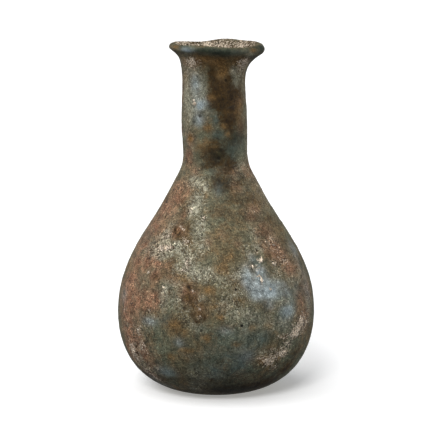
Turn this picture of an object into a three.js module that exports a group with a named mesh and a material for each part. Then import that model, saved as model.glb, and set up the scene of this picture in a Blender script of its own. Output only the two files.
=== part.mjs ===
// An ancient glass perfume flask, free-blown in one piece and hollow: a pear-shaped body with a small
// hollowed foot, a short neck that leans a little, and a lip turned out, rolled over and left uneven.
// Millimetres, +Z up. The foot stands on z = 0 with the Z axis through the middle of the body.
// Seen from the front, which looks along +Y, +X is to the right. A bearing is counted from +X towards +Y.

import * as THREE from "three";

const { CubicBezierCurve, MathUtils, Vector2 } = THREE;

// Driving dimensions
const HEIGHT = 109.5; // floor to the lip's crest, on average
const BODY_RADIUS = 31; // at the widest ring
const BODY_LEVEL = 24.8; // height of the widest ring
const FOOT_RADIUS = 11.5; // outer edge of the flat ring that it stands on
const NECK_RADIUS = 9.85; // narrowest ring, under the lip
const LIP_RADIUS = 15; // outer edge of the rolled lip, on average
const MOUTH_RADIUS = 7.7; // bore of the neck
const WALL_BODY = 1.8;
const WALL_SHOULDER = 2.2;
const WALL_FOOT = 3.4; // the glass gathered thicker at the bottom

// Segments round the axis
const TURNS = 64;

// Directions in the plane of the outline, which has the radius across and the level up
const UP = new Vector2(0, 1);
const DOWN = new Vector2(0, -1);
const OUT = new Vector2(1, 0);
const IN = new Vector2(-1, 0);

// The foot's hollow, pushed up while the glass was soft, and how the belly leaves the foot
const HOLLOW_RADIUS = 7;
const HOLLOW_DEPTH = 1.1;
const HOLLOW_EDGE = new Vector2(1, -0.4);
const BELLY_LEAVES = new Vector2(1, 0.17);

// Half way up the shoulder, where the outline turns from bulging to hollow
const SHOULDER_RADIUS = 20.1;
const SHOULDER_LEVEL = 53.9;
const SHOULDER_CLIMB = new Vector2(-0.66, 1);

// The pinch where the shoulder meets the neck, and the neck's slight barrel above it
const PINCH_RADIUS = 10;
const PINCH_LEVEL = 72;
const PINCH_CLIMB = new Vector2(-0.54, 1);
const SWELL_RADIUS = 10.4;
const SWELL_LEVEL = 86;
const NECK_TOP_LEVEL = 96.5;

// The lip's rolled edge is thin on the left and fat on the right. It is an arc round the edge, from
// underneath to past the crest, and the funnel inside it runs down to the bore.
const ROLL_LEFT = 1;
const ROLL_RIGHT = 1.6;
const ROLL_FROM = -0.35 * Math.PI;
const ROLL_TO = 0.7 * Math.PI;
const ROLL_STEPS = 7;
const FUNNEL_DEPTH = 8;

// What the blower's hand left. The lip's waves rise or dip round one bearing and fade out over the spread.
const BODY_OVAL = 0.1;
const NECK_LEAN = 0.8; // towards -X at the neck's top
const LEAN_FROM = 66;
const LEAN_TO = 99;
const LIP_DRIFT = 1; // the lip sits to the right of the neck
const DRIFT_FROM = 101;
const LIP_DIP = 0.2; // the lip is lower on the right
const LIP_WAVES = [
  { bearing: 28, spread: 22, rise: 0.4 },
  { bearing: 78, spread: 20, rise: 0.5 },
  { bearing: 114, spread: 24, rise: -0.6 },
  { bearing: 248, spread: 30, rise: 0.6 },
];
// Slow unevenness of the walls: how many waves round the flask, how far they turn for each millimetre climbed
const WALL_WAVES = [
  { round: 2, climb: 0.05, depth: 0.1 },
  { round: 3, climb: -0.11, depth: 0.08 },
  { round: 5, climb: 0.07, depth: 0.04 },
];

// A smooth stretch of outline that leaves one point and arrives at another in the given directions.
// The fuller it is, the longer it keeps to each of them.
function sweep(from, leaving, to, arriving, { steps, fullness = 0.4 }) {
  const hold = from.distanceTo(to) * fullness;
  const first = from.clone().addScaledVector(leaving.clone().normalize(), hold);
  const second = to.clone().addScaledVector(arriving.clone().normalize(), -hold);
  return new CubicBezierCurve(from, first, second, to).getPoints(steps);
}

function reversed(direction) {
  return direction.clone().negate();
}

// The point on the wall's inner side, square to the outline's direction there
function inner(point, direction, wall) {
  const square = new Vector2(-direction.y, direction.x).normalize();
  return point.clone().addScaledVector(square, wall);
}

const WIDEST = new Vector2(BODY_RADIUS, BODY_LEVEL);
const SHOULDER = new Vector2(SHOULDER_RADIUS, SHOULDER_LEVEL);
const PINCH = new Vector2(PINCH_RADIUS, PINCH_LEVEL);

// Outside of the body, from the middle of the foot's hollow to just under the pinch
function bodyOutside() {
  const hollow = new Vector2(0, HOLLOW_DEPTH);
  const footInner = new Vector2(HOLLOW_RADIUS, 0);
  const footOuter = new Vector2(FOOT_RADIUS, 0);
  return [
    ...sweep(hollow, OUT, footInner, HOLLOW_EDGE, { steps: 3 }),
    ...sweep(footOuter, BELLY_LEAVES, WIDEST, UP, { steps: 11, fullness: 0.42 }),
    ...sweep(WIDEST, UP, SHOULDER, SHOULDER_CLIMB, { steps: 8, fullness: 0.375 }).slice(1),
    ...sweep(SHOULDER, SHOULDER_CLIMB, PINCH, PINCH_CLIMB, { steps: 5, fullness: 0.355 }).slice(1, -1),
  ];
}

// The lip's rolled edge is a circle in the outline. This is its point at an angle from the outward side.
function rollPoint(lip, angle) {
  const centre = new Vector2(lip.radius - lip.roll, lip.level - lip.roll);
  return new Vector2(Math.cos(angle), Math.sin(angle)).multiplyScalar(lip.roll).add(centre);
}

function rollDirection(angle) {
  return new Vector2(-Math.sin(angle), Math.cos(angle));
}

// Outside of the neck, from the pinch through the flare to just under the roll
function neckOutside(lip) {
  const swell = new Vector2(SWELL_RADIUS, SWELL_LEVEL);
  const neckTop = new Vector2(NECK_RADIUS, NECK_TOP_LEVEL);
  const rollStart = rollPoint(lip, ROLL_FROM);
  return [
    ...sweep(PINCH, UP, swell, UP, { steps: 3 }),
    ...sweep(swell, UP, neckTop, UP, { steps: 2 }).slice(1),
    ...sweep(neckTop, UP, rollStart, rollDirection(ROLL_FROM), { steps: 5 }).slice(1, -1),
  ];
}

function lipRoll(lip) {
  return Array.from({ length: ROLL_STEPS + 1 }, (_, step) => {
    return rollPoint(lip, MathUtils.mapLinear(step, 0, ROLL_STEPS, ROLL_FROM, ROLL_TO));
  });
}

// The inside, from the end of the roll down the funnel, the bore and the body to the middle of the floor
function inside(lip) {
  const rollEnd = rollPoint(lip, ROLL_TO);
  const bore = new Vector2(MOUTH_RADIUS, lip.level - FUNNEL_DEPTH);
  const pinch = new Vector2(MOUTH_RADIUS, PINCH_LEVEL);
  const shoulder = inner(SHOULDER, SHOULDER_CLIMB, WALL_SHOULDER);
  const widest = inner(WIDEST, UP, WALL_BODY);
  const floor = new Vector2(0, HOLLOW_DEPTH + WALL_FOOT);
  return [
    ...sweep(rollEnd, rollDirection(ROLL_TO), bore, DOWN, { steps: 4 }).slice(1),
    ...sweep(bore, DOWN, pinch, DOWN, { steps: 2 }).slice(1),
    ...sweep(pinch, reversed(PINCH_CLIMB), shoulder, reversed(SHOULDER_CLIMB), { steps: 4 }).slice(1),
    ...sweep(shoulder, reversed(SHOULDER_CLIMB), widest, DOWN, { steps: 5 }).slice(1),
    ...sweep(widest, DOWN, floor, IN, { steps: 8, fullness: 0.51 }).slice(1),
  ];
}

// How much a wave adds at a bearing in degrees, falling away on both sides of its own
function waveAt(wave, bearing) {
  const away = MathUtils.euclideanModulo(bearing - wave.bearing + 180, 360) - 180;
  return wave.rise * Math.exp(-((away / wave.spread) ** 2));
}

// The lip's size and level at a bearing in degrees
function lipAt(bearing) {
  const toRight = Math.cos(MathUtils.degToRad(bearing));
  const waves = LIP_WAVES.reduce((sum, wave) => sum + waveAt(wave, bearing), 0);
  return {
    radius: LIP_RADIUS,
    level: HEIGHT - LIP_DIP * toRight + waves,
    roll: MathUtils.mapLinear(toRight, -1, 1, ROLL_LEFT, ROLL_RIGHT),
  };
}

function outlineAt(bearing) {
  const lip = lipAt(bearing);
  return [...bodyOutside(), ...neckOutside(lip), ...lipRoll(lip), ...inside(lip)];
}

// Where a point of the true outline really stands: the walls are uneven, the body is a little oval,
// and the neck leans. All of it fades out towards the foot, which stays flat.
function asBlown(radius, level, bearing) {
  const angle = MathUtils.degToRad(bearing);
  const offTheFloor = MathUtils.smoothstep(level, 0, BODY_LEVEL);
  const offTheMiddle = MathUtils.smoothstep(radius, 0, FOOT_RADIUS);
  const uneven = WALL_WAVES.reduce(
    (sum, wave) => sum + wave.depth * Math.sin(wave.round * angle + wave.climb * level),
    0,
  );
  const oval = BODY_OVAL * Math.cos(2 * angle) * (radius / BODY_RADIUS);
  const grown = radius + (uneven + oval) * offTheFloor * offTheMiddle;
  const lean = -NECK_LEAN * MathUtils.smoothstep(level, LEAN_FROM, LEAN_TO);
  const drift = LIP_DRIFT * MathUtils.smoothstep(level, DRIFT_FROM, HEIGHT - ROLL_RIGHT);
  return new THREE.Vector3(grown * Math.cos(angle) + lean + drift, grown * Math.sin(angle), level);
}

// A lathe turning whose outline changes with the bearing
function blownGlass() {
  const geometry = new THREE.LatheGeometry(outlineAt(0), TURNS);
  const position = geometry.getAttribute("position");
  const count = outlineAt(0).length;
  for (let turn = 0; turn <= TURNS; turn += 1) {
    const bearing = (360 * (turn % TURNS)) / TURNS;
    outlineAt(bearing).forEach((point, index) => {
      const place = asBlown(point.x, point.y, bearing);
      position.setXYZ(turn * count + index, place.x, place.y, place.z);
    });
  }
  geometry.computeVertexNormals();
  return geometry;
}

// Blue-green glass under brown burial crust and pale weathering, nearly opaque
function weatheredGlass() {
  return new THREE.MeshStandardMaterial({ color: 0x6f6c58, roughness: 0.5, metalness: 0 });
}

const flask = new THREE.Group();
const glass = new THREE.Mesh(blownGlass(), weatheredGlass());
glass.name = "glass_flask";
flask.add(glass);

export default flask;
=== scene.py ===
import math
import random

import bmesh
import bpy
import numpy as np
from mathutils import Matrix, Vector, noise


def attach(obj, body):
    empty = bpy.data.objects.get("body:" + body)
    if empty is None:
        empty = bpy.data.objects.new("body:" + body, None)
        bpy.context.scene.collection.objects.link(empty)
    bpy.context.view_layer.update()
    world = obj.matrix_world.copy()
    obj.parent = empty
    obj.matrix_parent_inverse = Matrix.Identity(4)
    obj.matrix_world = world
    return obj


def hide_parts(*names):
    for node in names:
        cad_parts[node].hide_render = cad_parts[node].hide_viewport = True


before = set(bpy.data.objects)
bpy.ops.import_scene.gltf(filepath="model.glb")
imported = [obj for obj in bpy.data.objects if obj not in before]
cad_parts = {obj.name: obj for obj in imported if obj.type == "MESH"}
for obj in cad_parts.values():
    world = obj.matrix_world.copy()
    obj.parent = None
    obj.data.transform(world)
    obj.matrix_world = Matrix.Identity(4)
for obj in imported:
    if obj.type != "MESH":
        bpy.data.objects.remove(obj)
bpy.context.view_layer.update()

# The flask is one piece of blue-green glass, blown free of any mould and hollow, with a rolled lip.
# Long burial has covered it with a thin skin: brown and rusty crust, pale weathered glass, a bluish
# sheen where that skin is smooth, and cream lime. Part of the bluish sheen and of the pale streaks, and
# some bright cream specks, are painted highlights; part of the dark crust and bare glass, under the
# lip and low at the foot, is painted shade. The side that isn't seen carries the same, plainer.
# Levels are in mm over the floor and bearings in degrees from +X towards +Y, so 270 faces the camera.
MM = 0.001
FOOT_LEVEL = 0.3
PINCH_LEVEL = 72
FLARE_LEVEL = 96.5
LIP_LEVEL = 104.5
FUNNEL_LEVEL = 98
NECK_OUTSIDE = 9  # what lies farther from the axis than this is the neck's outer face
FOLD = 1.2  # in radians: two triangles that meet at less than this are one facet of the wall


def only(piece):
    bpy.ops.object.select_all(action="DESELECT")
    piece.select_set(True)
    bpy.context.view_layer.objects.active = piece


def pick(piece, kind, wanted):
    """In edit mode, selects the faces or edges whose middle, in mm, and direction are wanted."""
    bpy.ops.mesh.select_mode(type=kind)
    bpy.ops.mesh.select_all(action="DESELECT")
    shape = bmesh.from_edit_mesh(piece.data)
    if kind == "FACE":
        for face in shape.faces:
            face.select_set(wanted(face.calc_center_median() / MM, face.normal))
    else:
        for edge in shape.edges:
            low, high = (corner.co / MM for corner in edge.verts)
            edge.select_set(wanted((low + high) / 2, (high - low).normalized()))
    bmesh.update_edit_mesh(piece.data)


def outside(middle, direction):
    """The outside of a wall faces away from the axis, in the body from a point of it lower down."""
    hub = Vector((0, 0, 0.4 * middle.z if middle.z < PINCH_LEVEL else middle.z))
    return direction.dot(middle - hub) > 0


def up_the_neck(middle, direction, bottom, top, steepness):
    """Whether an edge climbs the outside of the neck between two levels."""
    return bottom < middle.z < top and abs(direction.z) > steepness and middle.xy.length > NECK_OUTSIDE


def divide(kind, cuts, wanted):
    pick(flask, kind, wanted)
    bpy.ops.mesh.subdivide(number_cuts=cuts, smoothness=1)


flask = bpy.data.objects.new("weathered_flask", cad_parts["glass_flask"].data.copy())
bpy.context.scene.collection.objects.link(flask)
only(flask)
bpy.ops.mesh.customdata_custom_splitnormals_clear()
bpy.ops.object.mode_set(mode="EDIT")
bpy.ops.mesh.select_all(action="SELECT")
bpy.ops.mesh.remove_doubles(threshold=MM / 1000)
bpy.ops.mesh.tris_convert_to_quads(face_threshold=FOLD, shape_threshold=FOLD)
bpy.ops.object.mode_set(mode="OBJECT")
rounded = flask.modifiers.new("rounded", "SUBSURF")
rounded.levels = rounded.render_levels = 1
bpy.ops.object.modifier_apply(modifier=rounded.name)

bpy.ops.object.mode_set(mode="EDIT")
divide("FACE", 2, lambda middle, way: FOOT_LEVEL < middle.z < PINCH_LEVEL and outside(middle, way))
bpy.ops.mesh.vertices_smooth(factor=0.5, repeat=3)
divide("EDGE", 3, lambda middle, way: up_the_neck(middle, way, PINCH_LEVEL, FLARE_LEVEL, 0.7))
divide("EDGE", 1, lambda middle, way: up_the_neck(middle, way, FLARE_LEVEL, LIP_LEVEL, 0.3))
divide("FACE", 1, lambda middle, way: middle.z > LIP_LEVEL)
bpy.ops.object.mode_set(mode="OBJECT")


def numbers(items, name):
    """One row of three numbers for each item, such as its place."""
    found = np.empty(len(items) * 3)
    items.foreach_get(name, found)
    return found.reshape(-1, 3)


points = numbers(flask.data.vertices, "co") / MM
facing = numbers(flask.data.vertex_normals, "vector")
radial = points[:, :2] / np.maximum(np.hypot(points[:, 0], points[:, 1]), 0.1)[:, None]
bearings = np.degrees(np.arctan2(points[:, 1], points[:, 0])) % 360
outer = (facing[:, :2] * radial).sum(1) > 0
outer |= (points[:, 2] < 3) & (facing[:, 2] < 0)  # the foot and what is just over it


def faded(value, none, full):
    """0 at none, 1 at full and smooth between them."""
    share = np.clip((value - none) / (full - none), 0, 1)
    return share * share * (3 - 2 * share)


def together(*stains):
    """How much of each point is covered by stains that lie over each other."""
    left = np.ones(len(points))
    for stain in stains:
        left *= 1 - np.minimum(stain, 1)
    return 1 - left


def at(bearing, level):
    """The point of the outside that is nearest to a bearing and a level."""
    turn = np.abs((bearings - bearing + 180) % 360 - 180)
    round_there = np.radians(turn) * np.hypot(points[:, 0], points[:, 1])
    return np.argmin(np.hypot(round_there, points[:, 2] - level) + 100 * ~outer)


def off_centre(bearing, level, wide, tall, lean):
    """How far each point is from a mark's middle, with 1 at wide or tall mm, turned by lean degrees."""
    nearest = at(bearing, level)
    normal = facing[nearest]
    across = np.cross((0, 0, 1), normal)
    across /= np.linalg.norm(across)
    up = np.cross(normal, across)
    tilt = math.radians(lean)
    away = points - points[nearest]
    along = away @ (across * math.cos(tilt) + up * math.sin(tilt)) / wide
    over = away @ (up * math.cos(tilt) - across * math.sin(tilt)) / tall
    deep = away @ normal / max(wide, tall)
    return np.sqrt(along**2 + over**2 + deep**2)


def spot(bearing, level, wide, tall, strength=1.0, lean=0):
    """A stain that is strongest in its middle and has no edge."""
    return strength * np.exp(-off_centre(bearing, level, wide, tall, lean) ** 2)


def pit(bearing, level, radius, strength=1.0):
    """A burst bubble, with an edge."""
    return strength * faded(off_centre(bearing, level, radius, radius, 0), 1.3, 0.5)


def lumps(size, octaves=4, seed=0):
    """Noise over the glass from about -1 to 1, whose lumps are this many mm across."""
    shift = Vector((seed * 7.3, seed * 3.1, seed * 5.7))
    fading, spacing = 0.9, 2.0
    places = (Vector(point) / size + shift for point in points)
    return np.array([noise.fractal(place, fading, spacing, octaves) for place in places])


coarse = lumps(5, seed=1)
middling = lumps(2.2, seed=2)
fine = lumps(1.1, octaves=2, seed=3)

rust = together(
    # Rust-brown crust, on the lip and the flare under it
    spot(210, 104, 1.9, 1, 0.5),
    spot(239, 105.5, 1.8, 1.1, 0.6),
    spot(317, 105, 2.2, 1.1, 0.8),
    spot(269, 105, 2.5, 1.2, 0.4),
    # The neck
    spot(212, 74.5, 2, 3, 0.95),
    spot(221, 80, 1.9, 1.9, 0.7),
    spot(311, 92.5, 2.2, 2.5, 0.8),
    spot(319, 84.5, 1.5, 2.5, 0.6),
    spot(280, 96.5, 1.6, 2.5, 0.5),
    spot(294, 94, 1.7, 2.8, 0.4),
    # The shoulder
    spot(210, 64.5, 4.5, 3, 0.7),
    spot(203, 58.5, 6.5, 3.5, 0.8),
    spot(202, 53.5, 8, 3.5, 0.75),
    spot(201, 47.5, 8, 3.5, 0.75),
    spot(235, 53.5, 2.3, 1.9, 0.9),
    spot(235, 57.5, 1.2, 2.6, 0.6),
    spot(224, 65.5, 2.7, 1.9, 0.6),
    spot(219, 62, 2.9, 2.5, 0.7),
    spot(299, 66.5, 2.1, 2.6, 0.5),
    spot(312, 59, 3.5, 2.2, 0.5),
    spot(307, 57, 1.9, 1.3, 0.6),
    spot(315, 53.5, 3.5, 3, 0.6),
    spot(318, 48.5, 4, 4, 0.65),
    spot(338, 70, 4, 2.5, 0.6),
    spot(298, 70.5, 3.5, 1.6, 0.5),
    spot(234, 70.5, 1.9, 1.9, 0.5),
    spot(318, 46.5, 3.5, 2.5, 0.5),
    spot(233, 53, 1.2, 1.6, 0.8),
    spot(264, 51, 1.5, 1.7, 0.4),
    spot(275, 52.5, 1.2, 1.7, 0.3),
    spot(288, 50.5, 1.3, 1.6, 0.35),
    # The belly
    spot(204, 42.5, 6.5, 2.8, 0.95),
    spot(203, 33.5, 7, 4.5, 0.95),
    spot(216, 31.5, 6, 3.5, 1),
    spot(228, 34, 3.5, 2.5, 0.9),
    spot(229, 32, 3.5, 2.8, 0.95),
    spot(207, 26, 5.5, 4.5, 0.85),
    spot(211, 20, 5.5, 4, 0.9),
    spot(228, 40, 2.1, 1.9, 1.1),
    spot(217, 43.5, 4, 2.5, 0.6),
    spot(234, 43.5, 2.3, 1.6, 0.5),
    spot(241, 40, 2.8, 1.9, 0.5),
    spot(324, 44, 3.5, 3.5, 0.6),
    spot(331, 41, 3.5, 2.8, 0.55),
    spot(341, 35, 4.5, 5, 0.45),
    spot(329, 29.5, 2.9, 4.5, 0.5),
    spot(335, 24.5, 3.5, 4, 0.45),
    spot(254, 36.5, 2.5, 2.7, 0.5),
    spot(261, 31, 2.2, 2.7, 0.4),
    spot(325, 41.5, 2, 2.2, 0.5),
    spot(330, 28.5, 2.4, 4, 0.4),
    spot(205, 37.5, 5, 1.9, 1.1),
    spot(225, 43.5, 3, 1.2, 0.7),
    spot(253, 35.5, 2.2, 2.1, 0.9),
    spot(204, 34, 3.5, 1.9, 0.3),
    # The turn down to the foot
    spot(220, 16, 4.5, 3.5, 0.7),
    spot(225, 11, 3.5, 2.9, 0.35),
    spot(203, 15, 2.3, 3, 0.8),
    spot(207, 12, 2.7, 1.7, 0.7),
    spot(214, 8.5, 2.8, 1.8, 0.5),
    spot(209, 14.5, 2.5, 2.7, 0.6),
    spot(219, 7.5, 2.9, 1.5, 0.5),
    spot(206, 16.5, 2.8, 2.3, 0.3),
)
umber_and_shade = together(
    # Dark brown crust, on the lip and the flare under it
    spot(262, 102, 1.4, 2.7, 0.95),
    spot(258.1, 106.4, 1.6, 1, 0.9),
    spot(265, 104.5, 1.5, 1.5, 0.3),
    spot(218, 103.7, 0.9, 0.6, 0.9),
    spot(319.4, 104.9, 1.6, 0.7, 0.95),
    spot(253, 104, 1.6, 1, 0.5),
    spot(312, 102, 1.3, 1.3, 0.5),
    # The neck
    spot(282, 98, 1.9, 1.6, 0.6),
    spot(293, 99.5, 1.2, 1.3, 0.95),
    spot(280, 96, 2.9, 2.8, 1.1),
    spot(282, 92.5, 3.5, 3.5, 1.2),
    spot(312, 94.5, 3, 2.8, 1),
    spot(301, 89.5, 3.5, 3.5, 1),
    spot(292, 86, 3, 2.8, 1),
    spot(260, 93.5, 1.5, 1.5, 0.6),
    spot(271, 80, 2.2, 1.6, 0.7),
    spot(274, 76, 3, 2.5, 1.1),
    spot(257, 77.5, 2.5, 2.5, 0.6),
    spot(296, 73.5, 3, 2.2, 0.7),
    spot(318, 84, 2, 1.9, 0.5),
    spot(306, 81.5, 1.9, 1.9, 0.5),
    spot(298, 97, 1.8, 2.5, 0.6),
    spot(262, 99, 1.8, 2.8, 0.5),
    spot(267, 73.5, 3, 1.9, 0.8),
    spot(251, 72.5, 2, 1.6, 0.6),
    spot(293, 72.5, 2.3, 1.9, 0.5),
    spot(296, 84.5, 1, 1.9, 0.7),
    spot(227.6, 85.8, 0.6, 0.7, 0.8),
    spot(239, 75, 1.8, 1.6, 0.4),
    spot(296, 80, 2.1, 1.9, 0.5),
    spot(321, 80.5, 2.1, 1.9, 0.3),
    spot(269, 92.5, 1.9, 1.9, 0.5),
    spot(275, 95.5, 1.9, 1.8, 0.4),
    spot(330, 97.5, 2, 1.6, 0.3),
    spot(267, 74.5, 1.9, 0.9, 0.4),
    spot(287, 87.5, 1.9, 1.9, 0.5),
    spot(292, 99.5, 1, 1.3, 0.6),
    spot(269, 93, 2.2, 2.5, 0.6),
    spot(269, 77, 2.2, 1.6, 0.4),
    spot(321, 79.5, 1.6, 2.2, 0.3),
    spot(267, 100.5, 1.2, 1.9, 0.4),
    spot(289, 94, 2, 2.5, 0.4),
    spot(269, 93, 1.9, 2.2, 0.5),
    spot(282, 93, 2.6, 2.5, 0.4),
    spot(273, 98, 1.6, 2.8, 0.35),
    spot(284, 94.5, 1.9, 2.5, 0.3),
    # The shoulder
    spot(286, 70.5, 2.6, 1.6, 0.5),
    spot(278, 67, 3.5, 2.9, 0.9),
    spot(312, 67.5, 4, 2.8, 0.6),
    spot(314, 62, 4, 2.5, 0.5),
    spot(333, 56, 5.5, 2.8, 0.5),
    spot(290, 62.5, 2.9, 2.9, 0.5),
    spot(237, 52, 1.1, 1.3, 0.85),
    spot(244.2, 54.3, 0.8, 1.3, 0.85),
    spot(243, 51.5, 1, 1, 0.6),
    spot(228, 54.5, 1.3, 1, 0.5),
    spot(317, 52.5, 2.3, 2.5, 0.5),
    spot(332, 48.5, 3, 2.5, 0.5),
    spot(280, 51, 1.6, 1.3, 0.3),
    spot(283, 45, 1.6, 1.6, 0.35),
    spot(245.1, 48.1, 0.9, 1, 0.5),
    spot(275, 59, 2.8, 2.6, 0.35),
    spot(233, 58, 1.6, 2.5, 0.4),
    spot(299.3, 46.2, 1.1, 0.6, 0.3),
    spot(231.1, 53.6, 0.8, 1.4, 0.8),
    spot(307, 57.5, 3, 1.9, 0.5),
    spot(271, 69, 2.5, 2.3, 0.5),
    spot(311, 46.5, 1.6, 0.9, 0.4),
    spot(236, 53, 2.3, 1.9, 0.35),
    spot(312, 45.5, 2.5, 2.2, 0.4),
    spot(232, 57.5, 2, 2.6, 0.25),
    spot(275, 58.5, 2.5, 2, 0.25),
    spot(262, 52.5, 1.2, 1.7, 0.25),
    # The belly
    spot(228, 40, 2.1, 1.5, 0.6),
    spot(253, 38, 1, 1.5, 0.9),
    spot(253, 35, 1.6, 1.2, 0.9),
    spot(247, 36.5, 1, 0.9, 0.4),
    spot(251.5, 31.6, 1.1, 0.8, 0.9),
    spot(257.1, 32.5, 0.8, 0.8, 0.85),
    spot(257.3, 29.5, 0.7, 1.5, 0.9),
    spot(269, 32.5, 0.9, 0.9, 0.4),
    spot(332, 42.5, 1.9, 3, 0.5),
    spot(331, 34, 1.8, 3.5, 0.4),
    spot(315, 35.5, 1.3, 2.5, 0.4),
    spot(240, 43, 1.4, 0.9, 0.5),
    spot(264, 22.5, 6, 2.5, 0.2),
    spot(338.4, 33.1, 2, 0.9, 0.6),
    spot(332.8, 36.2, 1.7, 1.2, 0.4),
    spot(314.4, 33.1, 0.8, 1.2, 0.4),
    spot(260, 27.4, 1.4, 0.6, 0.9),
    spot(263.7, 29, 0.6, 1.1, 1),
    spot(261.2, 32.6, 0.9, 0.6, 0.8),
    spot(258, 38, 0.9, 1.2, 0.4),
    spot(260.5, 30.2, 0.8, 0.8, 0.35),
    spot(227.4, 38.9, 2.5, 0.8, 0.4),
    spot(215, 41.5, 1.6, 0.9, 0.35),
    spot(234.6, 44.5, 0.6, 0.5, 0.5),
    spot(244.1, 43.5, 1, 0.5, 0.45),
    spot(239, 40, 1.1, 1.8, 0.3),
    spot(255, 33.5, 0.9, 0.9, 0.8),
    spot(249, 39.5, 1, 0.9, 0.5),
    spot(258, 35, 0.9, 1.2, 0.5),
    spot(274, 27, 2.1, 1.5, 0.3),
    spot(255, 36, 2.8, 2.4, 0.3),
    spot(259, 30, 1.8, 2.1, 0.3),
    spot(270, 37, 1.8, 1.5, 0.2),
    spot(274, 26.5, 2.4, 1.5, 0.2),
    spot(335, 33, 2.8, 2.5, 0.3),
    spot(204, 33.5, 2.9, 1.6, 0.2),
    spot(235.7, 44.3, 1.1, 0.6, 0.3),
    # The turn down to the foot, where the dark low down is partly crust and partly painted shade under the
    # belly
    spot(216, 7, 6.5, 2.6, 0.5),
    spot(242, 3, 7, 2.3, 0.5),
    spot(289, 4, 10, 4, 1.2),
    spot(311, 5.5, 6, 3, 0.9),
    spot(323, 9.5, 4.5, 2.9, 0.8),
    spot(326, 15, 4, 3, 0.6),
    spot(273, 8.5, 6, 2.4, 0.4),
    spot(237, 8, 2.9, 1.3, 0.5),
)
ochre = together(
    # Orange-brown stains, on the lip and the flare under it
    spot(281, 102.5, 2.1, 3, 1.3),
    spot(257, 106, 3.5, 1.4, 0.9),
    spot(294, 105.5, 3, 1.7, 0.9),
    spot(210.2, 109.3, 1.6, 0.6, 0.95),
    spot(320.7, 108.3, 1.5, 0.6, 0.95),
    spot(228, 105, 3.5, 1.4, 0.9),
    spot(272, 105, 3.5, 1.8, 1.2),
    spot(308, 105, 2.8, 1.6, 1),
    spot(231, 104, 1.2, 1.6, 0.5),
    spot(226, 104.5, 1.7, 1.3, 0.5),
    spot(322, 103.5, 2.1, 1.7, 0.5),
    # The neck
    spot(283, 84.9, 1, 0.8, 0.95),
    spot(290.3, 82.6, 0.8, 0.9, 0.8),
    spot(257, 84, 1.3, 1.2, 0.6),
    spot(221, 80.5, 1.4, 1.3, 0.8),
    spot(255, 80, 1.3, 0.9, 0.5),
    spot(259, 93.5, 1.2, 0.9, 0.5),
    spot(322, 91, 1.7, 2.2, 0.5),
    spot(316, 87, 1.4, 1.9, 0.4),
    spot(262.1, 93.8, 1.1, 0.8, 0.5),
    spot(310, 88.5, 1.7, 0.9, 0.5),
    spot(252, 85, 1.3, 0.9, 0.5),
    spot(282, 96, 1.6, 1.8, 0.15),
    spot(289, 89, 1.6, 0.9, 0.15),
    spot(267, 78.5, 1.9, 0.9, 0.2),
    spot(315, 89, 1.8, 1.5, 0.4),
    spot(257, 97.5, 0.9, 2.5, 0.3),
    spot(242, 78.5, 1.7, 1.6, 0.4),
    spot(235, 83, 1.5, 1.3, 0.4),
    # The shoulder
    spot(258, 64.2, 0.8, 1, 0.7),
    spot(269, 49.5, 2.8, 2.9, 0.35),
    spot(280, 47.5, 2.5, 2.6, 0.3),
    spot(270, 53.5, 1.8, 2, 0.3),
    spot(236, 53, 1.9, 1.9, 0.25),
    # The belly
    spot(274, 43.5, 2.7, 2.5, 0.3),
    spot(264, 37, 2.1, 1.2, 0.7),
    spot(269, 32.5, 0.9, 0.9, 0.7),
    spot(285, 34, 2.5, 1.2, 0.45),
    spot(246, 26, 2, 1.5, 0.6),
    spot(252, 24, 1.9, 1.3, 0.45),
    spot(264, 22.5, 1.5, 1.3, 0.5),
    spot(273, 29, 1.2, 0.9, 0.6),
    spot(292, 25.5, 1.5, 1.2, 0.6),
    spot(301, 25.5, 1.8, 1.2, 0.45),
    spot(282, 20.5, 1.6, 1, 0.6),
    spot(260, 20, 0.9, 1.3, 0.3),
    spot(192, 40.5, 6, 2.2, 0.4),
    spot(247, 40.5, 2.7, 1.6, 0.4),
    spot(275, 32.5, 1.8, 1.5, 0.3),
    spot(253, 35.5, 1.9, 1.8, 0.35),
    spot(260, 30, 1.5, 2.1, 0.3),
    # The turn down to the foot
    spot(253.3, 18.7, 2.2, 0.8, 0.7),
    spot(242, 16, 1.7, 1, 0.6),
    spot(276, 12.5, 0.9, 1.5, 0.3),
    spot(234, 4, 1.1, 1.5, 0.7),
    spot(304, 14, 3, 1.8, 0.6),
    spot(313, 16, 2.9, 1.3, 0.5),
    spot(302, 15, 2.9, 1.7, 0.6),
    spot(309, 15, 2, 1.4, 0.4),
)
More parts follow.
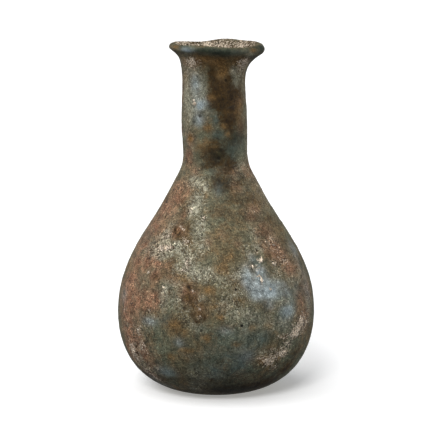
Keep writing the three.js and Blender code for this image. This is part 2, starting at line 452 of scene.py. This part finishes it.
pale = together(
    # Pale weathered glass, in places a painted highlight, on the lip and the flare under it
    spot(303, 102, 1.5, 2, 0.75),
    spot(229, 104, 2.4, 2.8, 1),
    spot(322, 103.5, 3, 2.8, 1),
    spot(229, 107, 2, 1.2, 0.4),
    spot(317, 107, 2.2, 1.1, 0.75),
    spot(297, 102.5, 1.1, 2, 0.5),
    # The neck, where a pale streak near bearing 240 is partly a painted highlight
    spot(211, 94, 2.5, 8, 0.7),
    spot(239, 97.5, 2.4, 3.5, 0.9),
    spot(235, 93, 2.2, 2.8, 0.7),
    spot(244, 95, 2, 2.5, 0.5),
    spot(223, 88, 2.2, 3, 0.6),
    spot(313, 98, 1.8, 2.8, 0.5),
    spot(335, 96.5, 2.4, 4.5, 0.4),
    spot(301, 91, 1.5, 1.5, 0.35),
    spot(343.9, 79.5, 2.5, 5, 0.35),
    spot(319, 72, 2.4, 1.6, 0.5),
    spot(252, 89, 1.9, 1.5, 0.4),
    spot(351.9, 88.7, 2, 5.5, 0.5),
    spot(212, 80, 2.3, 2.5, 0.3),
    spot(211, 93.5, 1.8, 1.2, 0.5),
    # The shoulder, where a pale streak near bearing 250 is partly a painted highlight
    spot(239, 67.5, 2.9, 2.2, 0.8),
    spot(254, 66, 1.6, 1.9, 0.7),
    spot(248, 62.5, 2.7, 2.9, 0.75),
    spot(245, 59, 2.1, 2.6, 0.85),
    spot(256, 54.5, 2.2, 4, 0.85),
    spot(260, 49.5, 2.5, 2.9, 0.55),
    spot(226, 53.5, 2.6, 2.5, 0.85),
    spot(222, 50.5, 3, 1.9, 0.85),
    spot(217, 47, 4.5, 2.8, 0.85),
    spot(232, 47.5, 4, 2.2, 0.85),
    spot(240, 49, 2.9, 2.2, 0.7),
    spot(250, 45, 2.6, 2.9, 0.9),
    spot(304, 53, 2.2, 2.9, 0.35),
    spot(304, 48.5, 2.2, 1.9, 0.6),
    spot(293, 48, 2, 2.6, 0.4),
    spot(321, 49, 2.9, 2.5, 0.35),
    spot(240, 49, 2.5, 1.9, 0.3),
    spot(226, 46, 2.9, 1.9, 0.8),
    spot(247, 47, 2, 1.6, 0.5),
    # The belly, where the pale on the left front, near bearing 245, is partly a painted highlight
    spot(244, 43, 2.4, 1.9, 0.5),
    spot(257, 42, 3, 2.2, 1),
    spot(264, 42, 3, 2.2, 0.9),
    spot(274, 39.5, 2.7, 2.2, 0.4),
    spot(283, 41, 2.8, 2.5, 0.5),
    spot(280, 35.5, 2.8, 2.1, 0.4),
    spot(244, 38.5, 3, 1.8, 0.5),
    spot(237, 35.5, 1.3, 3, 0.85),
    spot(246, 33.5, 2.7, 3, 0.5),
    spot(261, 34.5, 2.5, 1.5, 0.5),
    spot(253, 29.5, 3, 2.4, 0.35),
    spot(275, 32, 3.5, 2.7, 0.55),
    spot(286, 30.5, 4, 2.7, 0.6),
    spot(315, 32.5, 3.5, 2.5, 0.5),
    spot(314, 25.5, 4, 2.5, 0.5),
    spot(290, 42.5, 2, 1.9, 0.4),
    spot(313, 44, 1.6, 1.3, 0.5),
    spot(309, 37.5, 3, 2.5, 0.3),
    spot(323, 38, 2, 1.9, 0.4),
    spot(324, 43, 3, 3, 0.3),
    spot(334, 37, 2.8, 4.5, 0.3),
    spot(231, 27.5, 3, 1.2, 0.4),
    spot(211, 23.5, 3.5, 2.6, 0.4),
    spot(303, 26.5, 2.9, 2.2, 0.5),
    spot(335, 25, 2.8, 4.5, 0.4),
    spot(285, 36.5, 2.5, 2.1, 0.35),
    spot(226, 24.5, 3.5, 1.9, 0.35),
    spot(258, 26, 2.8, 1.9, 0.4),
    spot(205, 22.5, 4, 3, 0.3),
    spot(341, 30, 2.7, 5.5, 0.4),
    spot(336, 42.5, 2.1, 3.5, 0.35),
    spot(237, 34, 1.1, 2.8, 0.6),
    spot(293, 27, 2.7, 1.9, 0.35),
    spot(279, 27.5, 2.2, 1.5, 0.25),
    spot(238, 31, 1.1, 2.5, 0.4),
    spot(234, 34, 1.1, 0.9, 0.3),
    spot(286, 25, 1.9, 1.2, 0.2),
    spot(313, 40.5, 2.5, 2.5, 0.45),
    # The turn down to the foot
    spot(217, 18, 4, 4, 0.65),
    spot(219, 10.5, 3, 2.5, 0.3),
    spot(259, 6.5, 3, 2, 0.3),
    spot(257, 10.5, 3, 2.4, 0.35),
    spot(299, 17, 2.8, 1.7, 0.4),
    spot(254, 4.5, 3, 2, 0.55),
    spot(316, 18, 3.5, 2.3, 0.3),
    spot(205, 14.5, 2.2, 2.3, 0.6),
    spot(207, 11, 2.6, 1.4, 0.5),
    spot(214, 8, 2.7, 1.4, 0.4),
    spot(301, 16, 2.2, 1.4, 0.4),
    spot(255, 16.5, 2.2, 1.4, 0.25),
    spot(270, 10, 3, 2.1, 0.35),
    spot(286, 9.5, 2.5, 1.7, 0.25),
    spot(270, 6, 3, 1.8, 0.25),
    spot(212, 11, 2.9, 2.8, 0.3),
    spot(206, 14.5, 2.7, 2.3, 0.35),
    spot(217, 9, 3, 1.8, 0.3),
)
bloom_and_highlight = together(
    # Smooth grey-blue skin, partly a painted highlight, on the lip and the flare under it
    spot(232.6, 108.5, 1.9, 0.7, 0.85),
    spot(232.6, 108.5, 1.2, 0.7, 0.4),
    # The neck, where the bright patch near bearing 240 is a painted highlight
    spot(241, 91, 1, 1.1, 1.6),
    spot(233, 97.5, 1.7, 2.5, 0.7),
    spot(248, 92, 1.6, 1.5, 0.5),
    spot(238, 86.5, 1.6, 1.9, 0.6),
    spot(237, 93.5, 2.1, 5.5, 0.3),
    # The shoulder
    spot(296, 46, 1.4, 1.6, 0.3),
    spot(273, 65, 1.5, 2, 0.12),
    spot(344, 45.5, 3, 3, 0.35),
    # The belly, where the blue patch near bearing 300 is partly a painted highlight
    spot(291, 41, 2, 2.8, 0.7),
    spot(296, 37, 2.4, 2.8, 0.45),
    spot(305, 36, 2.8, 2.3, 1.25),
    spot(301, 42, 1.8, 1.9, 0.5),
    spot(316, 37, 1.8, 1.2, 0.3),
    spot(316, 29, 2.7, 2, 0.8),
    spot(229, 26.5, 2.9, 1.2, 0.5),
    spot(248, 21, 1.6, 1.3, 0.3),
    spot(276, 25, 2.4, 1.5, 0.25),
    spot(309, 35, 2.3, 1.5, 0.4),
    spot(303, 31.5, 1.8, 1.5, 0.3),
    spot(294, 35.5, 2.4, 1.8, 0.5),
    spot(303, 39, 2.2, 1.5, 0.5),
    spot(290, 39, 1.6, 2.2, 0.4),
    spot(299, 34.5, 2.5, 1.2, 0.35),
    spot(310, 37.5, 2, 1.2, 0.5),
    spot(317, 35, 1.8, 1.5, 0.35),
    spot(199.3, 31.3, 2.2, 2.2, 0.25),
    spot(340, 33, 2.6, 4.5, 0.2),
    spot(298, 40.5, 1, 2.8, 0.7, -20),
    spot(293, 38, 1.7, 2.2, 0.3),
    # The turn down to the foot
    spot(235, 10, 3.5, 1.9, 0.3),
    spot(288, 16.5, 3, 2, 0.3),
    spot(217, 7, 3, 1.9, 0.2),
    spot(217, 4, 5.5, 1.9, 0.25),
)
teal = together(
    # Greener glass that shows through, on the lip and the flare under it
    spot(241.3, 109, 3.5, 0.7, 0.6),
    spot(290, 108, 4.5, 0.9, 1),
    spot(356.4, 109, 5, 0.8, 0.5),
    # The neck
    spot(269, 87, 1.2, 1.9, 0.9),
    spot(257, 89, 1.6, 2.5, 0.4),
    spot(273, 82.5, 1.9, 1.6, 0.8),
    spot(300, 78, 2.5, 2.2, 0.7),
    spot(318, 79.5, 2.5, 2.5, 0.4),
    spot(296, 74, 2.1, 1.9, 0.6),
    spot(266, 71, 1.9, 1.6, 0.3),
    spot(244, 95, 1.6, 2.2, 0.4),
    spot(281, 79, 1.3, 0.9, 0.3),
    # The shoulder
    spot(272, 65, 1.9, 2.3, 0.3),
    # The belly
    spot(249, 20, 3, 2.6, 0.35),
    spot(298, 22, 3.5, 1.9, 0.6),
    spot(287, 25, 3, 1.9, 0.5),
    spot(311, 27, 2.5, 2.5, 0.5),
    spot(328, 35, 4, 3.5, 0.6),
    spot(319, 31.5, 2.7, 2.5, 0.6),
    spot(299, 44.5, 1.8, 1.6, 0.4),
    spot(275, 22, 6, 3, 0.35),
    spot(316, 29, 3, 2.3, 0.7),
    spot(320, 33.5, 2.8, 2.2, 0.6),
    spot(341, 40.5, 2.6, 2.5, 0.5),
    spot(343, 38, 2.9, 1.9, 0.5),
    spot(312, 25, 2.9, 1.9, 0.4),
    spot(295, 28, 3, 2.2, 0.45),
    spot(297, 23.5, 3, 1.9, 0.4),
    spot(289, 27, 2.6, 2.5, 0.35),
    spot(240, 27.5, 2.1, 1.6, 0.4),
    spot(261, 25, 2.5, 1.9, 0.3),
    spot(283, 22, 2.5, 1.9, 0.3),
    # The turn down to the foot
    spot(282, 13.5, 4.5, 3.5, 0.9),
    spot(270, 11.5, 3, 2.5, 0.7),
    spot(236, 10.5, 3.5, 2.7, 0.7),
    spot(291, 19.5, 4, 2.6, 0.6),
    spot(261, 13.5, 4.5, 2.9, 0.45),
    spot(270, 10, 3.5, 2.1, 0.7),
    spot(256, 8, 2.5, 2.3, 0.5),
    spot(278, 18, 3.5, 2.3, 0.3),
    spot(264, 18, 3, 2, 0.3),
    spot(276, 16.5, 3, 2, 0.4),
)
bare_and_shade = together(
    # Dark glass with the least skin, which on the lip, at the pinch and at the foot is partly painted shade.
    # On the lip and the flare under it
    spot(283, 108.5, 5, 0.9, 1.2),
    spot(258.9, 109.1, 3.5, 0.8, 1.3),
    spot(341, 108.5, 3.5, 1.4, 0.95),
    spot(221, 109.7, 4, 0.5, 0.6),
    spot(333, 109, 6, 1.1, 0.6),
    spot(213.8, 109.4, 3, 0.8, 0.35),
    spot(300, 108, 2.9, 0.8, 0.4),
    spot(258.9, 108.8, 4.5, 0.7, 0.6),
    spot(284.7, 107.9, 4.5, 0.8, 0.6),
    spot(329, 108.5, 4.5, 1.3, 0.5),
    spot(213.8, 109.4, 4, 0.8, 0.3),
    # The neck
    spot(274, 76, 2.5, 1.9, 0.55),
    spot(273, 82.5, 1.2, 1.1, 0.4),
    spot(308, 80.5, 3.5, 3, 0.55),
    spot(300, 77, 2.1, 2.5, 0.3),
    # The shoulder
    spot(277, 66.5, 1.9, 2.3, 0.45),
    # The turn down to the foot
    spot(291, 4, 7, 2.7, 0.5),
    spot(275, 5, 6, 2.9, 0.35),
)
lime_and_glints = together(
    # Cream lime, and in places painted glints, on the lip and the flare under it
    spot(229, 103.5, 1.6, 1.9, 0.5),
    spot(322, 103.5, 2.6, 2.1, 0.55),
    spot(212, 101, 1.8, 1.9, 0.3),
    spot(228, 105, 2.5, 1.4, 0.6),
    spot(314, 105, 2.2, 1.5, 0.8),
    spot(228, 105, 2.5, 1.4, 0.3),
    # The neck
    spot(229.2, 92.1, 0.8, 0.9, 1.1),
    # The shoulder
    spot(227.4, 48.1, 2.3, 0.8, 1.4, 8),
    spot(233.7, 48.5, 0.9, 0.6, 1.1),
    spot(227.2, 51.4, 0.8, 1.3, 0.4),
    spot(242.1, 59.1, 0.8, 1.1, 0.7),
    spot(257.6, 57.3, 0.6, 0.8, 0.75),
    spot(250, 45, 1, 1, 0.55),
    spot(236.8, 54.8, 0.7, 0.4, 0.45),
    spot(302.8, 45.4, 0.9, 0.9, 1.1),
    spot(318, 49.5, 2.3, 1.6, 0.35),
    spot(321, 47, 2.5, 1.9, 0.25),
    spot(312, 58.5, 1.7, 0.9, 0.2),
    spot(225, 47.5, 4, 2.2, 0.1),
    spot(301.3, 47.6, 1.1, 0.6, 0.4),
    spot(224, 51.5, 1.8, 1.3, 0.3),
    spot(246.9, 50.4, 1, 0.8, 0.55),
    spot(238.6, 54.1, 0.7, 0.4, 0.75),
    spot(216, 47.5, 3.5, 1.9, 0.1),
    spot(227, 45.5, 2.1, 1.3, 0.1),
    spot(244, 51, 1.7, 1.3, 0.3),
    # The belly, where the small bright spots near bearing 300 are partly painted glints
    spot(248, 43.1, 0.7, 0.6, 0.5),
    spot(255.7, 36.5, 0.5, 0.5, 0.9),
    spot(260.4, 31.4, 0.5, 0.6, 0.6),
    spot(221, 40.9, 0.6, 0.5, 0.9),
    spot(228.2, 29.9, 0.7, 0.6, 0.8),
    spot(219.6, 23.3, 1, 0.6, 0.6),
    spot(298.3, 40.8, 0.9, 0.4, 0.9),
    spot(300.1, 39.3, 0.5, 1.2, 0.95),
    spot(313, 43.7, 1, 0.7, 0.8),
    spot(323, 43.5, 2, 1.9, 0.3),
    spot(329, 23.5, 4, 2.2, 0.5),
    spot(321, 21.5, 3.5, 1.4, 0.6),
    spot(310.9, 21.2, 2.5, 0.8, 0.4),
    spot(330, 26.1, 1.5, 1.3, 0.4),
    spot(295.6, 43.5, 0.7, 0.6, 0.8),
    spot(298.6, 42.8, 0.9, 0.8, 0.5),
    spot(305.1, 36.7, 0.6, 0.5, 0.9),
    spot(324, 22.5, 2.6, 1.6, 0.6),
    spot(329, 25, 1.8, 1, 0.5),
    spot(335.4, 23.6, 1.4, 0.6, 0.6),
    spot(260.5, 28.7, 0.7, 0.6, 0.5),
    spot(236.2, 37.4, 0.7, 0.5, 0.5),
    spot(250, 44, 1.1, 1.3, 0.5),
    spot(246.1, 42.4, 1.4, 0.8, 0.4),
    spot(203.4, 27.6, 1.5, 1, 0.4),
    spot(219.5, 22.6, 1.2, 1.3, 0.6),
    # The turn down to the foot
    spot(220.3, 17.2, 0.7, 1.7, 0.6),
    spot(224.2, 16.2, 0.5, 1.3, 0.5),
    spot(208.4, 13.9, 1.3, 1.7, 0.4),
    spot(229.9, 10.6, 0.6, 0.9, 0.5),
    spot(317, 18.5, 2.3, 1.1, 0.45),
    spot(313, 16, 2.9, 1.5, 0.8),
    spot(305.1, 17.4, 1.5, 0.8, 0.4),
    spot(304, 14, 2.6, 1.8, 0.85),
    spot(297.4, 15.3, 1.7, 0.6, 0.5),
    spot(310, 11, 1.6, 1.1, 0.45),
    spot(221.9, 18.6, 0.9, 2, 0.5),
    spot(211.4, 15.3, 1.2, 1.7, 0.5),
    spot(216.5, 13.8, 1, 1.4, 0.4),
    spot(222, 11.6, 0.9, 1.4, 0.35),
    spot(209.1, 16.7, 1.6, 2.6, 0.5),
    spot(212, 13, 1.7, 2, 0.5),
    spot(217, 9, 2.1, 1.8, 0.5),
    spot(222, 6, 2.3, 1.6, 0.4),
)

# The funnel inside the far lip, which shows over the near one, is thick with lime.
far_lip = faded(np.sin(np.radians(bearings)), 0.05, 0.4) * ~outer * faded(points[:, 2], 101, 104)
lime_and_glints = together(lime_and_glints, far_lip * (0.4 + 0.3 * coarse))
umber_and_shade = together(umber_and_shade, far_lip * 0.6)

# Burst bubbles: bearing, level, radius and how dark each is
PITS = (
    (257.6, 52.8, 0.4, 1),
    (302.3, 47.8, 0.45, 1),
    (282.5, 37, 0.4, 1),
    (286.8, 36.9, 0.35, 1),
    (301.7, 40.4, 0.35, 1),
    (285.2, 26.1, 0.55, 1),
    (253.5, 37.5, 0.4, 0.8),
    (243, 88, 0.6, 0.6),
    (232, 86, 0.5, 0.5),
    (289.6, 99.3, 0.5, 0.6),
    (281.7, 93, 0.5, 0.5),
    (274.4, 75.2, 0.6, 0.6),
    (262, 25.2, 0.5, 0.7),
)
pits = together(*(pit(*hole) for hole in PITS))

# The side that isn't seen: the same marks, fewer and wider, where chance puts them.
BACK = (8, 172)  # the bearings between which its marks lie
BACK_LEVELS = (4, 100)
ASTRAY = 9  # how far, in degrees, a mark's second half lies beside it
chance = random.Random(11)
hidden = {"rust": 12, "umber_and_shade": 9, "pale": 10, "bloom_and_highlight": 4, "teal": 8, "ochre": 12, "lime_and_glints": 7, "bare_and_shade": 4}
layers = {
    "rust": rust,
    "umber_and_shade": umber_and_shade,
    "ochre": ochre,
    "pale": pale,
    "bloom_and_highlight": bloom_and_highlight,
    "teal": teal,
    "bare_and_shade": bare_and_shade,
    "lime_and_glints": lime_and_glints,
}
for name, count in hidden.items():
    widest = {"ochre": 5, "lime_and_glints": 5}.get(name, 12)
    strongest = {"lime_and_glints": 0.45, "pale": 0.7}.get(name, 0.9)
    for _ in range(count):
        bearing = chance.uniform(*BACK)
        level = chance.uniform(*BACK_LEVELS)
        wide = chance.uniform(0.4, 1) * widest * (0.45 if level > PINCH_LEVEL else 1)
        tall = chance.uniform(0.4, 1) * widest
        strength = chance.uniform(0.3, strongest)
        lean = chance.uniform(-40, 40)
        layers[name] = together(layers[name], spot(bearing, level, wide, tall, strength, lean))
        bearing += chance.uniform(-ASTRAY, ASTRAY)
        level += chance.uniform(-5, 5)
        layers[name] = together(layers[name], spot(bearing, level, tall / 2, wide / 2, strength))

# How strongly the colours are broken into specks: more on rust, flakes and lime, less where the skin
# is smooth and on the neck
smooth = layers["umber_and_shade"] + layers["bare_and_shade"] + 0.6 * layers["teal"] + 1.2 * layers["bloom_and_highlight"]
rough = 0.8 + 0.35 * layers["pale"] + 0.4 * layers["rust"] + 0.5 * layers["lime_and_glints"]
layers["speckle"] = np.clip(rough - 0.35 * smooth, 0.35, 1.25)
layers["speckle"] *= 0.7 + 0.3 * faded(points[:, 2], 80, 68)
for name, stain in layers.items():
    kept = flask.data.attributes.new(name, "FLOAT", "POINT")
    kept.data.foreach_set("value", stain.astype(np.float32))

# The skin's thickness over the glass, in mm. The inside is smoother, and the flat of the foot stays flat.
CRUST = 0.1
FLAKE = 0.07
LIME = 0.3
DENT = 0.45
UNEVEN = 0.05
relief = CRUST * np.clip(layers["rust"] + layers["umber_and_shade"] + layers["ochre"], 0, 1) * (0.3 + 0.8 * middling)
relief += FLAKE * faded(layers["pale"] + 0.5 * coarse, 0.4, 0.55)
relief += LIME * faded(layers["lime_and_glints"], 0.1, 0.7) * (0.2 + 0.9 * fine)
relief += UNEVEN * middling * outer
relief -= DENT * pits
off_the_floor = faded(points[:, 2], 0.2, 2.0)
in_sight = outer | (points[:, 2] > FUNNEL_LEVEL)
relief *= off_the_floor * np.where(in_sight, 1, 0.3)
reach = float(np.abs(relief).max())
skin = flask.vertex_groups.new(name="skin")
for index, thick in enumerate(relief):
    skin.add([index], 0.5 + 0.5 * thick / reach, "REPLACE")
thickness = flask.modifiers.new("thickness", "DISPLACE")
thickness.vertex_group = skin.name
thickness.mid_level = 0
thickness.strength = 2 * reach * MM
bpy.ops.object.modifier_apply(modifier=thickness.name)
level_back = flask.modifiers.new("level_back", "DISPLACE")
level_back.mid_level = 0
level_back.strength = -reach * MM
bpy.ops.object.modifier_apply(modifier=level_back.name)
flask.vertex_groups.clear()
bpy.ops.object.shade_smooth()

# The finish: opaque weathered glass, dull all over and a little glossier where the skin is smooth.
# Each pair of paints is the darker and the lighter shade of what it is named for.
BROWN_SKIN = ("433a26", "71674c")
GREEN_SKIN = ("434637", "70735e")
EARTH = ("49341c", "6c5030")
TEAL_GLASS = ("3c4740", "68736a")
PALE_FLAKES_AND_HIGHLIGHT = ("74705b", "a8a48f")
RUST_CRUST = ("5f402d", "9f7a5f")
UMBER_CRUST_AND_SHADE = ("20160a", "463418")
BARE_GLASS_AND_SHADE = ("1c241d", "343a2c")
OCHRE_STAIN = ("5c4524", "8a6b42")
BLUE_BLOOM_AND_HIGHLIGHT = ("6b777a", "a9b5b7")
CREAM_LIME_AND_GLINTS = ("ab957c", "f2e3cd")
FLECK = "2c1c0d"
PIT_SHADOW = "0b0906"
finish = bpy.data.materials.new("weathered_glass")
finish.use_nodes = True
web = finish.node_tree
shader = web.nodes["Principled BSDF"]
shader.inputs["Specular IOR Level"].default_value = 0.16


def set_input(socket, value):
    if isinstance(value, bpy.types.NodeSocket):
        web.links.new(value, socket)
    else:
        socket.default_value = value


def node(kind, inputs, output=0, **settings):
    made = web.nodes.new("ShaderNode" + kind)
    for name, value in settings.items():
        setattr(made, name, value)
    for name, value in inputs.items():
        set_input(made.inputs[name], value)
    return made.outputs[output]


def colour(code):
    """A named paint as six hex digits, turned into the light that it returns."""
    parts = [int(code[start:start + 2], 16) / 255 for start in (0, 2, 4)]
    return (*((part + 0.055) ** 2.4 / 1.055**2.4 if part > 0.04 else part / 12.92 for part in parts), 1)


def sum_of(first, second):
    return node("Math", {0: first, 1: second}, operation="ADD")


def times(first, second):
    return node("Math", {0: first, 1: second}, operation="MULTIPLY")


def between(value, none, full):
    ends = {"Value": value, "From Min": none, "From Max": full}
    return node("MapRange", ends, interpolation_type="SMOOTHSTEP")


def scaled(value, low, high):
    """Noise, which is mostly from 0.3 to 0.7, brought to the range from low to high."""
    return node("MapRange", {"Value": value, "From Min": 0.3, "From Max": 0.7, "To Min": low, "To Max": high})


def over(below, paint, share):
    """One colour laid over another, at full strength where the share is 1."""
    return node("Mix", {0: share, 6: below, 7: paint}, output=2, data_type="RGBA")


def cloud(size, detail=4, rough=0.6, where=None):
    """Noise in lumps of about this many mm."""
    settings = {"Vector": where or twisted, "Scale": 1 / size, "Detail": detail, "Roughness": rough}
    return node("TexNoise", settings)


def mottled(dark, light, size):
    """A paint that changes from dark to light in lumps of about this many mm."""
    return over(colour(dark), colour(light), between(cloud(size, detail=5, rough=0.75), 0.3, 0.7))


def amount(name):
    """How much of a stain, or of the speckle, the piece keeps at each point."""
    return node("Attribute", {}, output=2, attribute_name=name)


def veil(name, noise, low=0.2, high=1.8):
    """A stain's share, soft-edged and uneven."""
    share = times(amount(name), scaled(noise, low, high))
    return node("Clamp", {0: share})


def stipple(name, noise, bite=3.0, edge=0.25):
    """A stain's share where it lies in separate grains, closer together where there is more of it."""
    grains = sum_of(amount(name), times(sum_of(noise, -0.5), bite))
    return times(between(grains, 0.5 - edge, 0.5 + edge), between(amount(name), 0.02, 0.15))


def rescaled(vector, factor):
    return node("VectorMath", {0: vector, 3: factor}, operation="SCALE")


in_mm = node("Mapping", {0: node("TexCoord", {}, output=3), 3: (1 / MM, 1 / MM, 1 / MM)})
drift = node("TexNoise", {"Vector": in_mm, "Scale": 0.2, "Detail": 3.0}, output=1)
drift = node("VectorMath", {0: drift, 1: (0.5, 0.5, 0.5)}, operation="SUBTRACT")
twisted = node("VectorMath", {0: in_mm, 1: rescaled(drift, 4.0)}, operation="ADD")

dust = cloud(0.35, detail=2, rough=0.7)
grain = cloud(1.1, detail=5, rough=0.85)
sand = cloud(0.6, detail=3, rough=0.8)
patchy = cloud(3.5, detail=7, rough=0.8)
broad = cloud(14, detail=3, rough=0.5)
other = cloud(5, detail=6, rough=0.75, where=in_mm)

paint = over(mottled(*BROWN_SKIN, 2.5), mottled(*GREEN_SKIN, 2.5), between(broad, 0.3, 0.7))
paint = over(paint, mottled(*EARTH, 2), times(between(other, 0.45, 0.6), 0.5))
paint = over(paint, mottled(*TEAL_GLASS, 2.5), veil("teal", patchy))
pale_veil = veil("pale", patchy, 0.4, 1.6)
pale_grains = stipple("pale", sand, bite=2.2, edge=0.4)
flakes_and_highlight = node("Mix", {0: amount("speckle"), 2: pale_veil, 3: pale_grains})
# The pale flakes are partly a painted highlight, in streaks on the neck, shoulder and left front.
paint = over(paint, mottled(*PALE_FLAKES_AND_HIGHLIGHT, 1.2), flakes_and_highlight)
paint = over(paint, mottled(*RUST_CRUST, 2.5), veil("rust", patchy, 0.1, 1.9))
# The dark brown crust is partly painted shade, low at the foot.
paint = over(paint, mottled(*UMBER_CRUST_AND_SHADE, 1.8), stipple("umber_and_shade", grain, bite=2.0, edge=0.45))
# The bare dark glass is partly painted shade, on the lip, at the pinch and low at the foot.
paint = over(paint, mottled(*BARE_GLASS_AND_SHADE, 1.8), veil("bare_and_shade", patchy, 0.5, 1.5))
paint = over(paint, mottled(*OCHRE_STAIN, 1.2), veil("ochre", other))
# The blue sheen is partly a painted highlight.
paint = over(paint, mottled(*BLUE_BLOOM_AND_HIGHLIGHT, 2), times(veil("bloom_and_highlight", other, 0.7, 1.4), 0.9))
# The cream lime holds some painted glints, in the blue sheen near bearing 300.
paint = over(paint, mottled(*CREAM_LIME_AND_GLINTS, 0.8), stipple("lime_and_glints", sand, bite=3.0, edge=0.2))
flecks = times(between(sum_of(grain, times(amount("pale"), 0.05)), 0.55, 0.62), amount("speckle"))
paint = over(paint, colour(FLECK), times(flecks, 0.8))
for bearing, level, radius, strength in PITS:
    away = node("VectorMath", {0: in_mm, 1: points[at(bearing, level)]}, operation="DISTANCE", output=1)
    paint = over(paint, colour(PIT_SHADOW), times(between(away, radius * 1.1, radius * 0.7), strength))

# Specks lighter and darker than the paint under them, from dust to grains of 2 mm
light_specks = between(cloud(0.5, detail=2, rough=0.7), 0.58, 0.68)
dark_specks = between(cloud(0.55, detail=3, rough=0.8, where=in_mm), 0.55, 0.66)
value = sum_of(times(sum_of(dust, -0.5), 3.2), times(sum_of(grain, -0.5), 3.0))
value = sum_of(value, times(sum_of(cloud(2, detail=4, rough=0.7), -0.5), 2.0))
value = sum_of(value, sum_of(times(light_specks, 1.4), times(dark_specks, -0.7)))
value = sum_of(times(value, amount("speckle")), 1)
paint = rescaled(paint, node("Clamp", {0: value, 1: 0.1, 2: 3}))
set_input(shader.inputs["Base Color"], paint)

dullness = scaled(grain, 0.52, 0.78)
smooth_skin = node("Math", {0: amount("bloom_and_highlight"), 1: amount("teal")}, operation="MAXIMUM")
set_input(shader.inputs["Roughness"], sum_of(dullness, times(smooth_skin, -0.2)))

height = sum_of(times(grain, 0.6), times(dust, 0.35))
height = sum_of(height, times(stipple("lime_and_glints", grain, bite=4.0), 0.5))
height = sum_of(height, times(veil("rust", patchy), 0.3))
bumps = node("Bump", {"Strength": 0.7, "Distance": 0.3 * MM, "Height": height})
set_input(shader.inputs["Normal"], bumps)

flask.data.materials.clear()
flask.data.materials.append(finish)
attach(flask, "root")
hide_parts("glass_flask")

# The floor is a sheet of white paper, large enough to reach past the camera's view on every side.
# It is lit from within a little, to be nearly white, and the flask isn't lit by it or mirrored in it.
bpy.ops.object.select_all(action="DESELECT")
bpy.ops.mesh.primitive_plane_add(size=8)
floor = bpy.context.object
floor.name = "paper_floor"
paper = bpy.data.materials.new("white_paper")
paper.use_nodes = True
sheet = paper.node_tree.nodes["Principled BSDF"]
sheet.inputs["Base Color"].default_value = (0.9, 0.9, 0.9, 1)
sheet.inputs["Roughness"].default_value = 0.8
sheet.inputs["Emission Color"].default_value = (1, 0.985, 0.945, 1)
sheet.inputs["Emission Strength"].default_value = 0.3
floor.data.materials.append(paper)
floor.visible_diffuse = False
floor.visible_glossy = False

# Two softboxes stand in front, on the left and on the right, and two weak ones behind light the edges.
# A broad light stands high in front of them. The paper has two lights of its own, whose shadows fall
# behind the flask and to its right.
BOX_WIDTH = 0.3
BOX_HEIGHT = 0.6
aim = Vector((0, 0, 0.0551))


def direction(azimuth, elevation):
    around, up = math.radians(azimuth), math.radians(elevation)
    return Vector((math.cos(around) * math.cos(up), math.sin(around) * math.cos(up), math.sin(up)))


def lamp(name, kind, way, watts, away=0.8):
    light = bpy.data.lights.new(name, kind)
    light.energy = watts
    stand = bpy.data.objects.new(name, light)
    bpy.context.scene.collection.objects.link(stand)
    stand.location = aim + away * way
    stand.rotation_euler = (-way).to_track_quat("-Z", "Y").to_euler()
    return light


def light_only(name, thing):
    """Lets a lamp light one thing only. The flask still shades the paper from the paper's lamps."""
    lit = bpy.data.collections.new(name + "_lights")
    lit.objects.link(thing)
    bpy.data.objects[name].light_linking.receiver_collection = lit


for name, azimuth, elevation, watts in (
    ("left_softbox", 210, 20, 2.7),
    ("right_softbox", 342, 24, 3.2),
    ("left_edge", 140, 4, 1.0),
    ("right_edge", 35, 4, 0.6),
):
    box = lamp(name, "AREA", direction(azimuth, elevation), watts)
    box.shape = "RECTANGLE"
    box.size = BOX_WIDTH
    box.size_y = BOX_HEIGHT
    light_only(name, flask)
for name, azimuth, elevation, energy, angle, lit in (
    ("high_light", 242, 60, 2.6, 45, flask),
    ("paper_light_wide", 210, 65, 1.98, 80, floor),
    ("paper_light_narrow", 256, 35, 1.8, 20, floor),
):
    lamp(name, "SUN", direction(azimuth, elevation), energy).angle = math.radians(angle)
    light_only(name, lit)

# The room gives a faint light of its own, slightly blue, from all round.
room = bpy.data.worlds.new("room")
bpy.context.scene.world = room
room.use_nodes = True
room.node_tree.nodes["Background"].inputs["Color"].default_value = (0.85, 0.9, 1, 1)
room.node_tree.nodes["Background"].inputs["Strength"].default_value = 0.22

# The camera looks a little down on the flask from straight in front. It stands far enough off for
# upright lines to stay nearly parallel.
AIM_DISTANCE = 0.72
ELEVATION = 9.8
VIEW_ANGLE = 10.8
view = bpy.data.cameras.new("view")
view.sensor_width = 36
view.lens = view.sensor_width / 2 / math.tan(math.radians(VIEW_ANGLE / 2))
camera = bpy.data.objects.new("view", view)
bpy.context.scene.collection.objects.link(camera)
camera.location = aim + AIM_DISTANCE * direction(270, ELEVATION)
camera.rotation_euler = (aim - camera.location).to_track_quat("-Z", "Y").to_euler()
bpy.context.scene.camera = camera
bpy.context.scene.view_settings.view_transform = "Standard"
